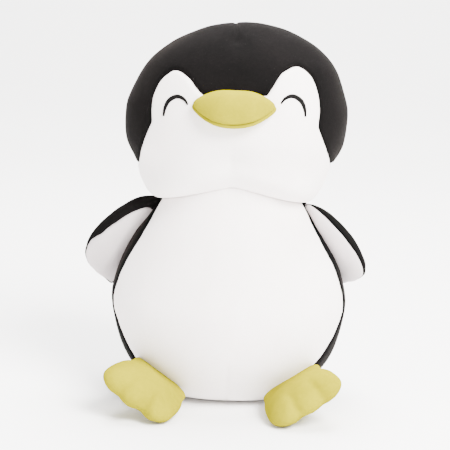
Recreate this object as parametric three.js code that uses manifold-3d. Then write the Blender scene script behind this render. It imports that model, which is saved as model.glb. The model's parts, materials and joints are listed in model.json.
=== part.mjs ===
// Plush penguin, sitting upright and facing -Y, +Z up, millimetres.
// The origin is on the surface it sits on, under the middle of the body.
// "Left" and "right" are the penguin's own: its left side is +X.
//
// Every fabric panel is a thin shell cut from the stuffed outer form, and every stuffing is the form inside.
import * as THREE from "three";
import { mergeVertices } from "three/addons/utils/BufferGeometryUtils.js";
import Module from "manifold-3d";

const wasm = await Module();
wasm.setup();

// ---- driving dimensions ------------------------------------------------------------------
const cloth = 1.6; // plush fabric, backing and pile together
const sewGap = 0.4; // between neighbouring solids of one body
const fillGap = 1.0; // between a fabric panel's inside and its stuffing
const runGap = 0.8; // between solids that move against each other

const body = {
  halfWidth: 88,
  widestAt: 69, // height of the widest ring
  neckHalfWidth: 54,
  neckAt: 151, // height where the shoulders meet the head
  frontDepth: 0.86, // front and back depth as shares of the half width
  backDepth: 0.76,
  seatRadius: 36, // flat part of the seat
  seatLift: 13, // how far the front of the seat curls up over the feet
  seatFlatTo: 12, // forward reach of the flat part, before it curls up
  baseWidth: 47, // half width and half depth of the oval base panel
  baseDepth: 39,
};

const neck = {
  pivotAt: 132, // height of the point that the head turns and nods about
  ballRadius: 58.2, // the neck seam lies on this ball around the pivot
  plugRadius: 36, // stuffing that fills the neck opening
  plugFrom: 160, // height of the flat face that the plug turns on
};

const head = {
  halfWidth: 82,
  rise: 59.5, // centre to crown
  drop: 72, // centre to the bottom of the cheeks
  frontDepth: 0.82,
  backDepth: 0.8,
  centre: new THREE.Vector3(1.5, 4, 88), // from the pivot, in the upright frame
  lookUp: 8, // degrees that the face is tilted up
  lookRight: 2.5, // degrees that the face is turned to the penguin's right
  crownSeam: 6, // the seam over the crown, behind the widest ring
  chinDart: { depth: 7, halfWidth: 20 },
  uneven: 6, // how much higher the hand-sewn patch sits over the left eye
  lean: 0.07, // sideways shift of the stuffed crown per unit of height
};

const eye = { spread: 41, height: -3.7, span: 9.5, stroke: 3.2, proud: 1.1, lift: 0.3 };
const beak = { halfWidth: 29.5, reach: 20.5, upper: 13, lower: 7, droop: 48, height: -2.5, root: 9, sunk: 3 };

const flipper = {
  lengthLeft: 70, // down the outer edge
  lengthRight: 75.6,
  width: 33,
  thickness: 19,
  seamAt: 2.4, // the rim seam lies this far towards the white side
  rootLength: 28,
  rootThickness: 6.4,
  rootTop: new THREE.Vector3(body.neckHalfWidth, -6, body.neckAt - 4),
  rootSlope: 62, // degrees that the sewn edge falls below level
  rootLean: 20, // degrees that the sewn edge runs backwards as it falls
  openLeft: 52, // rest angles about the sewn edge: 0 is straight out, and more is forwards
  openRight: 20,
  swingLeft: [-50, 12], // how far each flaps from rest
  swingRight: [-35, 30],
};

const foot = {
  length: 54,
  width: 60,
  thickness: 23,
  rootWidth: 40,
  rootThickness: 6.4,
  rootMiddle: new THREE.Vector3(body.halfWidth * 0.534, -body.halfWidth * body.frontDepth * 0.5814, 22.5),
  splayLeft: 13, // degrees that the toes point outwards
  splayRight: 21,
  roll: 31, // degrees that the outer side is raised
  droop: 6, // degrees that the toes point down
  toeNotch: 1.8, // depth of the two hollows between the toes
  bend: [-10, 28], // how far the toes go down and up from rest
};

const label = { width: 15, length: 24, ribbon: 0.5, fold: 0.7, at: 34, droop: 18, flap: 45 };

// ---- mesh helpers --------------------------------------------------------------------------
const degrees = THREE.MathUtils.degToRad;
const clamp01 = (t) => Math.min(1, Math.max(0, t));
const smooth = (t) => clamp01(t) ** 2 * (3 - 2 * clamp01(t));
const bump = (t) => Math.exp(-t * t);

function solidFrom(geometry) {
  const plain = geometry.index ? geometry.toNonIndexed() : geometry.clone();
  plain.deleteAttribute("normal");
  plain.deleteAttribute("uv");
  const merged = mergeVertices(plain, 1e-3);
  return new wasm.Manifold(
    new wasm.Mesh({
      numProp: 3,
      vertProperties: merged.attributes.position.array,
      triVerts: new Uint32Array(merged.index.array),
    }),
  );
}

function geometryFrom(solid) {
  const mesh = solid.getMesh();
  const geometry = new THREE.BufferGeometry();
  geometry.setAttribute("position", new THREE.BufferAttribute(mesh.vertProperties, 3));
  geometry.setIndex(new THREE.BufferAttribute(mesh.triVerts, 1));
  geometry.computeVertexNormals();
  return geometry;
}

// Moves each vertex of a geometry to where shape(vertex) puts it.
function mould(geometry, shape) {
  const position = geometry.getAttribute("position");
  const v = new THREE.Vector3();
  for (let i = 0; i < position.count; i++) {
    shape(v.fromBufferAttribute(position, i));
    position.setXYZ(i, v.x, v.y, v.z);
  }
  return geometry;
}

// Points of a profile or outline moved sideways by d, to the right of the way it runs.
function offset2(points, d, closed) {
  const n = points.length;
  return points.map((p, i) => {
    const before = points[closed ? (i + n - 1) % n : Math.max(0, i - 1)];
    const after = points[closed ? (i + 1) % n : Math.min(n - 1, i + 1)];
    const along = after.clone().sub(before).normalize();
    return new THREE.Vector2(p.x + along.y * d, p.y - along.x * d);
  });
}

// A profile of [radius, height] points, from the bottom of the axis to the top, turned about +Z.
function turned(profile, rings, segments, grow) {
  const curve = new THREE.SplineCurve(profile.map(([r, z]) => new THREE.Vector2(r, z)));
  const points = offset2(curve.getSpacedPoints(rings), grow, false);
  points[0].x = 0;
  points[rings].x = 0;
  const geometry = new THREE.LatheGeometry(points, segments);
  return geometry.rotateX(Math.PI / 2);
}

// A prism of an outline in X and Z, running along Y from one depth to another.
function prismAlongY(points, from, to) {
  const shape = new THREE.Shape(points);
  const prism = new THREE.ExtrudeGeometry(shape, { depth: to - from, bevelEnabled: false });
  return solidFrom(prism.rotateX(Math.PI / 2).translate(0, to, 0));
}

// A prism of an outline in Y and Z, running along X on both sides of the middle.
function prismAlongX(points, halfLength) {
  const shape = new THREE.Shape(points);
  const prism = new THREE.ExtrudeGeometry(shape, { depth: 2 * halfLength, bevelEnabled: false });
  prism.translate(0, 0, -halfLength).rotateZ(Math.PI / 2).rotateY(Math.PI / 2);
  return solidFrom(prism);
}

function block(from, to) {
  const size = to.clone().sub(from);
  const middle = from.clone().add(to).multiplyScalar(0.5);
  const box = new THREE.BoxGeometry(size.x, size.y, size.z);
  return solidFrom(box.translate(middle.x, middle.y, middle.z));
}

const far = 400;
const box6 = (x0, x1, y0, y1, z0, z1) =>
  block(new THREE.Vector3(x0, y0, z0), new THREE.Vector3(x1, y1, z1));
const ball = (radius) => solidFrom(new THREE.SphereGeometry(radius, 32, 16));

// ---- materials -----------------------------------------------------------------------------
const plush = (colour) =>
  new THREE.MeshStandardMaterial({ color: colour, roughness: 0.95, metalness: 0 });
const paint = {
  black: plush(0x2f2c2c),
  white: plush(0xf6f1ee),
  yellow: plush(0xf7e45c),
  thread: new THREE.MeshStandardMaterial({ color: 0x151313, roughness: 0.55, metalness: 0 }),
  fill: new THREE.MeshStandardMaterial({ color: 0xf2f2f0, roughness: 1, metalness: 0 }),
  ribbon: new THREE.MeshStandardMaterial({ color: 0xf8f8f6, roughness: 0.5, metalness: 0 }),
};

const penguin = new THREE.Group();

function piece(parent, name, solid, material) {
  const mesh = new THREE.Mesh(geometryFrom(solid), material);
  mesh.name = name;
  parent.add(mesh);
}

// ---- body ------------------------------------------------------------------------------------
const bodyProfile = [
  [0, 0],
  [body.seatRadius * 0.5, 0],
  [body.seatRadius, 0],
  [body.halfWidth * 0.64, 5],
  [body.halfWidth * 0.84, 24],
  [body.halfWidth * 0.94, 43],
  [body.halfWidth, body.widestAt],
  [body.halfWidth * 0.97, 88],
  [body.halfWidth * 0.9, 106],
  [body.halfWidth * 0.8, 123],
  [body.neckHalfWidth + 7.5, body.neckAt - 15],
  [body.neckHalfWidth, body.neckAt],
  [body.neckHalfWidth - 1, body.neckAt + 20],
  [body.neckHalfWidth - 4, body.neckAt + 48],
  [body.neckHalfWidth * 0.6, body.neckAt + 58],
  [0, body.neckAt + 60],
];

// The stuffed body, grown outwards by a distance: negative for the inside of the fabric.
function bodyForm(grow, rings = 18, segments = 32) {
  const form = turned(bodyProfile, rings, segments, grow);
  mould(form, (v) => {
    v.y *= v.y < 0 ? body.frontDepth : body.backDepth;
    const reach = Math.max(0, -v.y - body.seatFlatTo) / (body.halfWidth * body.frontDepth);
    v.z += body.seatLift * reach ** 2 * (1 - smooth(v.z / body.widestAt));
    if (Math.abs(v.z + grow) < 0.05) v.z = -grow;
  });
  return solidFrom(form);
}

// Side view of the seam between belly and back: it swings forwards behind the feet.
const sideSeam = new THREE.SplineCurve([
  new THREE.Vector2(-8, -20),
  new THREE.Vector2(-14, 2),
  new THREE.Vector2(-34, 20),
  new THREE.Vector2(-32, 38),
  new THREE.Vector2(-15, body.widestAt),
  new THREE.Vector2(-13, 98),
  new THREE.Vector2(-14, 120),
  new THREE.Vector2(-8, body.neckAt),
  new THREE.Vector2(-8, 200),
]);

function addBody() {
  const ballTop = ball(neck.ballRadius - sewGap).translate(0, 0, neck.pivotAt);
  const below = box6(-far, far, -far, far, -far, body.neckAt - 1);
  const room = ballTop.add(below);
  const shell = bodyForm(0).subtract(bodyForm(-cloth)).intersect(room);

  const oval = new THREE.CylinderGeometry(1, 1, 30, 36).rotateX(Math.PI / 2);
  const ovalOf = (grow) =>
    solidFrom(oval.clone().scale(body.baseWidth + grow, body.baseDepth + grow, 1));
  const walls = shell.subtract(ovalOf(sewGap / 2));
  const base = shell.intersect(ovalOf(-sewGap / 2));

  const seam = sideSeam.getPoints(36);
  const frontOf = (shift) => {
    const edge = seam.map((p) => new THREE.Vector2(p.x + shift, p.y));
    const outline = [new THREE.Vector2(-far, 200), new THREE.Vector2(-far, -20), ...edge];
    return prismAlongX(outline, far);
  };
  const back = walls.subtract(frontOf(sewGap / 2));
  piece(penguin, "belly_panel", walls.intersect(frontOf(-sewGap / 2)), paint.white);
  const leftRoom = box6(sewGap / 2, far, -far, far, -far, far);
  const rightRoom = box6(-far, -sewGap / 2, -far, far, -far, far);
  piece(penguin, "back_panel_left", back.intersect(leftRoom), paint.black);
  piece(penguin, "back_panel_right", back.intersect(rightRoom), paint.black);
  piece(penguin, "base_panel", base, paint.white);

  const fillRoom = box6(-far, far, -far, far, -far, neck.plugFrom);
  const innerBall = ball(neck.ballRadius - cloth).translate(0, 0, neck.pivotAt).add(below);
  const fill = bodyForm(-cloth - fillGap).intersect(innerBall).intersect(fillRoom);
  piece(penguin, "body_stuffing", fill, paint.fill);
}

// ---- neck ------------------------------------------------------------------------------------
function addNeckPlug() {
  const column = new THREE.CylinderGeometry(neck.plugRadius, neck.plugRadius, 60, 36);
  column.rotateX(Math.PI / 2).translate(0, 0, neck.plugFrom + runGap + 30);
  const dome = ball(neck.ballRadius - runGap).translate(0, 0, neck.pivotAt);
  piece(penguin, "neck_stuffing", solidFrom(column).intersect(dome), paint.fill);
}

// ---- head ------------------------------------------------------------------------------------
// The head is modelled in its own frame, with the pivot at the origin and the face looking along -Y.
const headGroup = new THREE.Group();
headGroup.position.set(0, 0, neck.pivotAt);
headGroup.rotation.set(-degrees(head.lookUp), 0, -degrees(head.lookRight));
headGroup.updateMatrix();
const headCentre = head.centre.clone().applyQuaternion(headGroup.quaternion.clone().invert());

const headProfile = [
  [0, -head.drop],
  [40, -head.drop + 1],
  [56, -head.drop + 6],
  [65.5, -head.drop + 14],
  [72.5, -head.drop + 27],
  [80, -29],
  [head.halfWidth, -10],
  [79.5, 5],
  [70, 27],
  [54, 43],
  [33, head.rise - 5.5],
  [15, head.rise - 0.8],
  [0, head.rise],
];

function headForm(grow, rings = 18, segments = 32) {
  const form = turned(headProfile, rings, segments, grow);
  mould(form, (v) => {
    const below = smooth((-v.z - 22) / 34);
    const dart = head.chinDart.depth * below * bump(v.x / head.chinDart.halfWidth);
    v.x += head.lean * v.z * (v.z > 0 ? 1 : 0.5);
    v.y *= v.y < 0 ? head.frontDepth : head.backDepth;
    if (v.y < 0) v.y += dart * clamp01(-v.y / 20);
    v.add(headCentre);
  });
  return solidFrom(form);
}

const fromHeadCentre = (points) =>
  points.map(([x, z]) => new THREE.Vector2(x + headCentre.x, z + headCentre.z));

// One half of the face patch: up from behind the beak, over the eye, down the cheek to below the chin.
const faceHalf = [
  [23, 5],
  [28, 10],
  [34, 17],
  [44, 22],
  [53.5, 16],
  [58.5, 7],
  [61, -4],
  [60.5, -16],
];
const cheekHalf = [
  [60.5, -16],
  [66, -29],
  [71, -43],
  [74, -60],
];

function faceOutline(grow) {
  const curve = (points) =>
    new THREE.SplineCurve(points.map(([x, z]) => new THREE.Vector2(x, z))).getPoints(16);
  const half = [...curve(faceHalf), ...curve(cheekHalf).slice(1), new THREE.Vector2(74, -110)];
  const lift = (p) => head.uneven * smooth((p.y + 20) / 30) * smooth((p.x - 20) / 14);
  const right = half.map((p) => new THREE.Vector2(p.x, p.y + lift(p)));
  const left = half.map((p) => new THREE.Vector2(-p.x, p.y)).reverse();
  const grown = offset2([...left, ...right], -grow, true);
  return grown.map((p) => new THREE.Vector2(p.x + headCentre.x, p.y + headCentre.z));
}

function addHead() {
  penguin.add(headGroup);
  const notNeck = ball(neck.ballRadius + runGap);
  const outer = headForm(0);
  const shell = outer.subtract(headForm(-cloth)).subtract(notNeck);
  const seamY = headCentre.y + head.crownSeam;
  const front = shell.intersect(box6(-far, far, -far, seamY - sewGap / 2, -far, far));
  const back = shell.intersect(box6(-far, far, seamY + sewGap / 2, far, -far, far));
  const face = front.intersect(prismAlongY(faceOutline(-sewGap / 2), -far, seamY + 1));
  const hood = front.subtract(prismAlongY(faceOutline(sewGap / 2), -far, seamY + 1));
  const middle = headCentre.x;
  piece(headGroup, "face_panel", face, paint.white);
  piece(headGroup, "hood_front_panel", hood, paint.black);
  const leftRoom = box6(middle + sewGap / 2, far, -far, far, -far, far);
  const rightRoom = box6(-far, middle - sewGap / 2, -far, far, -far, far);
  piece(headGroup, "hood_back_panel_left", back.intersect(leftRoom), paint.black);
  piece(headGroup, "hood_back_panel_right", back.intersect(rightRoom), paint.black);
  const fill = headForm(-cloth - fillGap).subtract(notNeck);
  piece(headGroup, "head_stuffing", fill, paint.fill);
}

// An eye is an arch of satin stitch that lies on the face.
function addEyes() {
  const layer = headForm(eye.lift + eye.proud).subtract(headForm(eye.lift));
  for (const [name, side] of [["eye_left", 1], ["eye_right", -1]]) {
    const arch = new THREE.SplineCurve([
      new THREE.Vector2(-eye.span * 0.86, eye.height + 1),
      new THREE.Vector2(-eye.span * 0.55, eye.height + 4.8),
      new THREE.Vector2(0, eye.height + 6.6),
      new THREE.Vector2(eye.span * 0.6, eye.height + 3.6),
      new THREE.Vector2(eye.span * 0.9, eye.height - 2),
      new THREE.Vector2(eye.span * 0.98, eye.height - 7.6),
    ]).getPoints(20);
    const edge = (sign) =>
      arch.map((p, i) => {
        const along = arch[Math.min(i + 1, 20)].clone().sub(arch[Math.max(i - 1, 0)]).normalize();
        const half = (eye.stroke / 2) * (0.3 + 0.7 * Math.sin((Math.PI * (i + 1.5)) / 23)) * sign;
        return [side * (eye.spread + p.x - along.y * half), p.y + along.x * half];
      });
    const outline = fromHeadCentre([...edge(1), ...edge(-1).reverse()]);
    if (side > 0) outline.forEach((p) => (p.y += head.uneven / 2));
    if (THREE.ShapeUtils.isClockWise(outline)) outline.reverse();
    const prism = prismAlongY(outline, -far, headCentre.y - 20);
    piece(headGroup, name, layer.intersect(prism), paint.thread);
  }
}

// ---- sewn pillows: two panels joined round a rim, with stuffing between ------------------------
// An outline is a closed curve in X and Y, and the thickness lies along Z.
// The poles of the sphere are the middles of the two panels and its equator is the sewn rim.
function pillow({ outline, middle, upper, lower, swell }, inset, around = 22, across = 8) {
  const form = new THREE.SphereGeometry(1, around, across).rotateX(Math.PI / 2);
  const curve = new THREE.CatmullRomCurve3(outline, true, "centripetal");
  const centre = new THREE.Vector3(middle[0], middle[1], 0);
  mould(form, (v) => {
    const turn = (Math.atan2(v.y, v.x) / (2 * Math.PI) + 1) % 1;
    const flat = Math.hypot(v.x, v.y);
    const arm = curve.getPoint(turn).sub(centre);
    arm.setLength(Math.max(0.6, arm.length() - inset));
    const plan = arm.multiplyScalar(flat).add(centre);
    const full = v.z > 0 ? upper : lower;
    const height = Math.max(0.5, full * swell(plan) - inset);
    v.set(plan.x, plan.y, v.z * height);
  });
  return solidFrom(form);
}

function addPillow(parent, form, names, paints, cutAway) {
  const trimmed = (solid) => solid.subtract(cutAway);
  const shell = pillow(form, 0).subtract(pillow(form, cloth));
  const seam = form.seamAt;
  const upperRoom = box6(-far, far, -far, far, seam + sewGap / 2, far);
  const lowerRoom = box6(-far, far, -far, far, -far, seam - sewGap / 2);
  piece(parent, names[0], largest(trimmed(shell.intersect(upperRoom))), paints[0]);
  piece(parent, names[1], largest(trimmed(shell.intersect(lowerRoom))), paints[1]);
  const fill = pillow(form, cloth + fillGap);
  piece(parent, names[2], largest(trimmed(fill)), paint.fill);
}

// Trimming can leave slivers beside a piece: the piece is the largest body.
function largest(solid) {
  return solid.decompose().reduce((a, b) => (b.volume() > a.volume() ? b : a));
}

// A solid of the whole toy's frame, seen from a part's own frame.
function seenFrom(group, solid) {
  group.updateWorldMatrix(true, false);
  return solid.transform(group.matrixWorld.clone().invert().toArray());
}

// The room that the body takes up as a part swings about its own X, so the part can be cut clear of it.
function sweptBody(group, [low, high]) {
  const still = seenFrom(group, bodyForm(runGap));
  const angles = [low, low / 2, 0, high / 2, high];
  return angles.map((a) => still.rotate([-a, 0, 0])).reduce((all, one) => all.add(one));
}

// ---- beak ------------------------------------------------------------------------------------
function addBeak() {
  const w = beak.halfWidth;
  const r = beak.reach;
  const outline = [
    [w, 0],
    [w * 0.86, r * 0.42],
    [w * 0.5, r * 0.84],
    [0, r],
    [-w * 0.5, r * 0.84],
    [-w * 0.86, r * 0.42],
    [-w, 0],
    [-w * 0.6, -beak.root],
    [0, -beak.root * 1.15],
    [w * 0.6, -beak.root],
  ].map(([x, y]) => new THREE.Vector3(x, y, 0));
  const group = new THREE.Group();
  group.position.copy(headCentre);
  group.position.y -= head.halfWidth * head.frontDepth - beak.sunk;
  group.position.z += beak.height;
  group.rotation.set(-degrees(beak.droop), 0, Math.PI, "ZXY");
  headGroup.add(group);
  const form = { outline, middle: [0, 2], upper: beak.upper, lower: beak.lower, seamAt: 0, swell: () => 1 };
  const cut = seenFrom(group, headForm(sewGap).transform(headGroup.matrix.toArray()));
  const names = ["beak_upper_panel", "beak_lower_panel", "beak_stuffing"];
  addPillow(group, form, names, [paint.yellow, paint.yellow], cut);
}

// ---- flippers ----------------------------------------------------------------------------------
// In a flipper's own frame X runs down the sewn edge, Y out to the side, and Z is the white side.
function addFlipper(sideGroup, side, open, swing, length) {
  const slope = degrees(flipper.rootSlope);
  const down = new THREE.Vector3(Math.cos(slope), 0, -Math.sin(slope));
  const out = new THREE.Vector3(Math.sin(slope), 0, Math.cos(slope));
  down.applyAxisAngle(out, degrees(flipper.rootLean));
  const group = new THREE.Group();
  const basis = new THREE.Matrix4().makeBasis(down, out, down.clone().cross(out));
  group.quaternion.setFromRotationMatrix(basis);
  group.position.copy(flipper.rootTop);
  group.rotateX(degrees(open));
  sideGroup.add(group);
  const l = length;
  const w = flipper.width;
  const outline = [
    [l * 1.12, w * 0.2],
    [l * 1.1, w * 0.36],
    [l * 1.05, w * 0.58],
    [l * 0.97, w * 0.8],
    [l * 0.85, w * 0.95],
    [l * 0.67, w],
    [l * 0.46, w * 0.95],
    [l * 0.25, w * 0.77],
    [l * 0.06, w * 0.46],
    [-2, w * 0.14],
    [1, 1],
    [flipper.rootLength * 0.5, 0],
    [flipper.rootLength, 1],
    [l * 0.6, w * 0.12],
    [l * 0.88, w * 0.14],
  ].map(([x, y]) => new THREE.Vector3(x, y, 0));
  const rootShare = flipper.rootThickness / flipper.thickness;
  const half = flipper.thickness / 2;
  const swell = (p) => rootShare + (1 - rootShare) * smooth((p.y - 1) / (w * 0.42));
  const middle = [l * 0.5, w * 0.5];
  const form = { outline, middle, upper: half, lower: half, seamAt: flipper.seamAt, swell };
  const cut = sweptBody(group, swing);
  const names = [`flipper_inner_panel_${side}`, `flipper_outer_panel_${side}`, `flipper_stuffing_${side}`];
  addPillow(group, form, names, [paint.white, paint.black], cut);
}

// ---- feet --------------------------------------------------------------------------------------
// In a foot's own frame X runs down the sewn edge, Y to the toes and Z is the top.
function addFoot(sideGroup, side, splay) {
  const group = new THREE.Group();
  group.position.copy(foot.rootMiddle);
  group.rotation.order = "ZYX";
  group.rotation.z = Math.PI + degrees(splay);
  group.rotateY(degrees(foot.roll));
  group.rotateX(-degrees(foot.droop));
  sideGroup.add(group);
  const l = foot.length;
  const w = foot.width / 2;
  const notch = foot.toeNotch;
  const outline = [
    [w, l * 0.5],
    [w * 0.88, l * 0.8],
    [w * 0.62, l * 0.95],
    [w * 0.36, l * 0.97 - notch],
    [0, l],
    [-w * 0.36, l * 0.97 - notch],
    [-w * 0.62, l * 0.95],
    [-w * 0.88, l * 0.8],
    [-w, l * 0.5],
    [-w * 0.84, l * 0.2],
    [-foot.rootWidth / 2, 0],
    [0, -3],
    [foot.rootWidth / 2, 0],
    [w * 0.84, l * 0.2],
  ].map(([x, y]) => new THREE.Vector3(x, y, 0));
  const rootShare = foot.rootThickness / foot.thickness;
  const half = foot.thickness / 2;
  const swell = (p) => rootShare + (1 - rootShare) * smooth(p.y / (l * 0.45));
  const form = { outline, middle: [0, l * 0.52], upper: half, lower: half, seamAt: 0, swell };
  const cut = sweptBody(group, foot.bend);
  const names = [`foot_top_panel_${side}`, `foot_sole_panel_${side}`, `foot_stuffing_${side}`];
  addPillow(group, form, names, [paint.yellow, paint.yellow], cut);
}

// ---- sewn-in label: a blank ribbon folded in half, with both ends in the back seam -----------------
function addLabel() {
  const half = label.ribbon + label.fold / 2;
  const tip = label.length;
  const outline = [
    [0, -half],
    [tip - half, -half],
    [tip, 0],
    [tip - half, half],
    [0, half],
    [0, label.fold / 2],
    [tip - half - label.ribbon, label.fold / 2],
    [tip - label.ribbon * 1.5, 0],
    [tip - half - label.ribbon, -label.fold / 2],
    [0, -label.fold / 2],
  ].map(([y, x]) => new THREE.Vector2(y, x));
  const shape = new THREE.Shape(outline);
  const strip = new THREE.ExtrudeGeometry(shape, { depth: label.width, bevelEnabled: false });
  strip.translate(0, 0, -label.width / 2);
  const group = new THREE.Group();
  const seatBack = body.halfWidth * 0.9 * body.backDepth;
  group.position.set(0, seatBack + 1.5, label.at);
  group.rotation.set(-degrees(label.droop), 0, Math.PI / 2, "XYZ");
  penguin.add(group);
  const still = seenFrom(group, bodyForm(runGap));
  const cut = still.add(still.rotate([0, 0, label.flap])).add(still.rotate([0, 0, -label.flap]));
  piece(group, "care_label", largest(solidFrom(strip).subtract(cut)), paint.ribbon);
}

addBody();
addNeckPlug();
addHead();
addEyes();
addBeak();
const sides = [
  {
    side: "left",
    mirror: 1,
    open: flipper.openLeft,
    swing: flipper.swingLeft,
    length: flipper.lengthLeft,
    splay: foot.splayLeft,
  },
  {
    side: "right",
    mirror: -1,
    open: flipper.openRight,
    swing: flipper.swingRight,
    length: flipper.lengthRight,
    splay: foot.splayRight,
  },
];
for (const { side, mirror, open, swing, length, splay } of sides) {
  const sideGroup = new THREE.Group();
  sideGroup.scale.x = mirror;
  penguin.add(sideGroup);
  addFlipper(sideGroup, side, open, swing, length);
  addFoot(sideGroup, side, splay);
}
addLabel();

export default penguin;
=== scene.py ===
import json
import math

import bpy
import numpy as np
from mathutils import Matrix, Vector, noise
from mathutils.bvhtree import BVHTree
from mathutils.kdtree import KDTree


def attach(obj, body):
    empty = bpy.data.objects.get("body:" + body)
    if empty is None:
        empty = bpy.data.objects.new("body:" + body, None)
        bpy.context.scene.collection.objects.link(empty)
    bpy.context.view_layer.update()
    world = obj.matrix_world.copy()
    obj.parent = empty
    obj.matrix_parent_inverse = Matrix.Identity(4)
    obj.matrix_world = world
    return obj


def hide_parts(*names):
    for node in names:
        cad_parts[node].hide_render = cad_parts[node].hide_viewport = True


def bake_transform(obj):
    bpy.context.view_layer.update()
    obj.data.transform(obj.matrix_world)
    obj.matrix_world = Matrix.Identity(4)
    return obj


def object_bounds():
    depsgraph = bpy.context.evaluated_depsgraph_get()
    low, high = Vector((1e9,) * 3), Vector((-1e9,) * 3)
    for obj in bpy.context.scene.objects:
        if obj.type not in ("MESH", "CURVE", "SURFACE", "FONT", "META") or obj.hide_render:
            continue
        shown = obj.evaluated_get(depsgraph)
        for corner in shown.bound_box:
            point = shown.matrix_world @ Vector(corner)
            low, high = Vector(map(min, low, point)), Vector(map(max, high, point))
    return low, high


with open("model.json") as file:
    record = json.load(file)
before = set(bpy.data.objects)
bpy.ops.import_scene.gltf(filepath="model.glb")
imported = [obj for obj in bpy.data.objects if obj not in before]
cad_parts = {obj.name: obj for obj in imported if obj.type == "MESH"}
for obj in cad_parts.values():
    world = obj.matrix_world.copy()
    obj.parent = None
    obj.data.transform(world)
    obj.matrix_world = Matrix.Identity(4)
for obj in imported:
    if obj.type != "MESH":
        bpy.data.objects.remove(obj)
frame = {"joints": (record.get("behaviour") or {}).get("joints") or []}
cad_low, cad_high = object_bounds()

# One millimetre of the built toy, from the frame's own height, so every size here follows the frame.
BUILT_HEIGHT = 278.95
MM = (cad_high.z - cad_low.z) / BUILT_HEIGHT
JOINTS = {j["name"]: j for j in frame["joints"]}
PIVOT = np.array(JOINTS["head_nod"]["pos_m"])
CLOTH = 1.3 * MM


# ---- curves ------------------------------------------------------------------------------------
def catmull(points, count, closed=False):
    """Smooth curve through the points, as `count` samples evenly spaced along it."""
    p = np.array(points, float)
    n = len(p)
    spans = n if closed else n - 1
    out = []
    for i in range(spans):
        near = [(i + k) % n if closed else min(max(i + k, 0), n - 1) for k in (-1, 0, 1, 2)]
        p0, p1, p2, p3 = p[near]
        t = np.linspace(0, 1, 24, endpoint=False)[:, None]
        v0, v1 = (p2 - p0) / 2, (p3 - p1) / 2
        out.append((2 * p1 - 2 * p2 + v0 + v1) * t**3 + (-3 * p1 + 3 * p2 - 2 * v0 - v1) * t**2 + v0 * t + p1)
    dense = np.concatenate(out + [p[:1] if closed else p[-1:]])
    walked = np.concatenate([[0], np.cumsum(np.linalg.norm(np.diff(dense, axis=0), axis=1))])
    at = np.linspace(0, walked[-1], count, endpoint=not closed)
    return np.stack([np.interp(at, walked, dense[:, k]) for k in range(p.shape[1])], 1)


def smooth(t):
    t = np.clip(t, 0, 1)
    return t * t * (3 - 2 * t)


def bell(t):
    return np.exp(-np.square(t))


def wave(points, scale, seed):
    """Soft lumps between -1 and 1 at each point; scale is the size of a lump in metres."""
    shift = Vector((seed * 3.7, seed * 1.3, seed * 5.1))
    return np.array([noise.noise(Vector(p) / scale + shift) for p in points])


def signed_distance(points, outline):
    """Distance from 2-D points to a closed outline, positive inside."""
    a, b = outline, np.roll(outline, -1, axis=0)
    best = np.full(len(points), 1e9)
    inside = np.zeros(len(points), bool)
    for p, q in zip(a, b):
        d = q - p
        t = np.clip(((points - p) @ d) / max(d @ d, 1e-18), 0, 1)
        best = np.minimum(best, np.linalg.norm(points - p - t[:, None] * d, axis=1))
        crosses = (p[1] > points[:, 1]) != (q[1] > points[:, 1])
        if abs(d[1]) > 1e-12:
            at = p[0] + (points[:, 1] - p[1]) / d[1] * d[0]
            inside ^= crosses & (points[:, 0] < at)
    return np.where(inside, best, -best)


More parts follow.
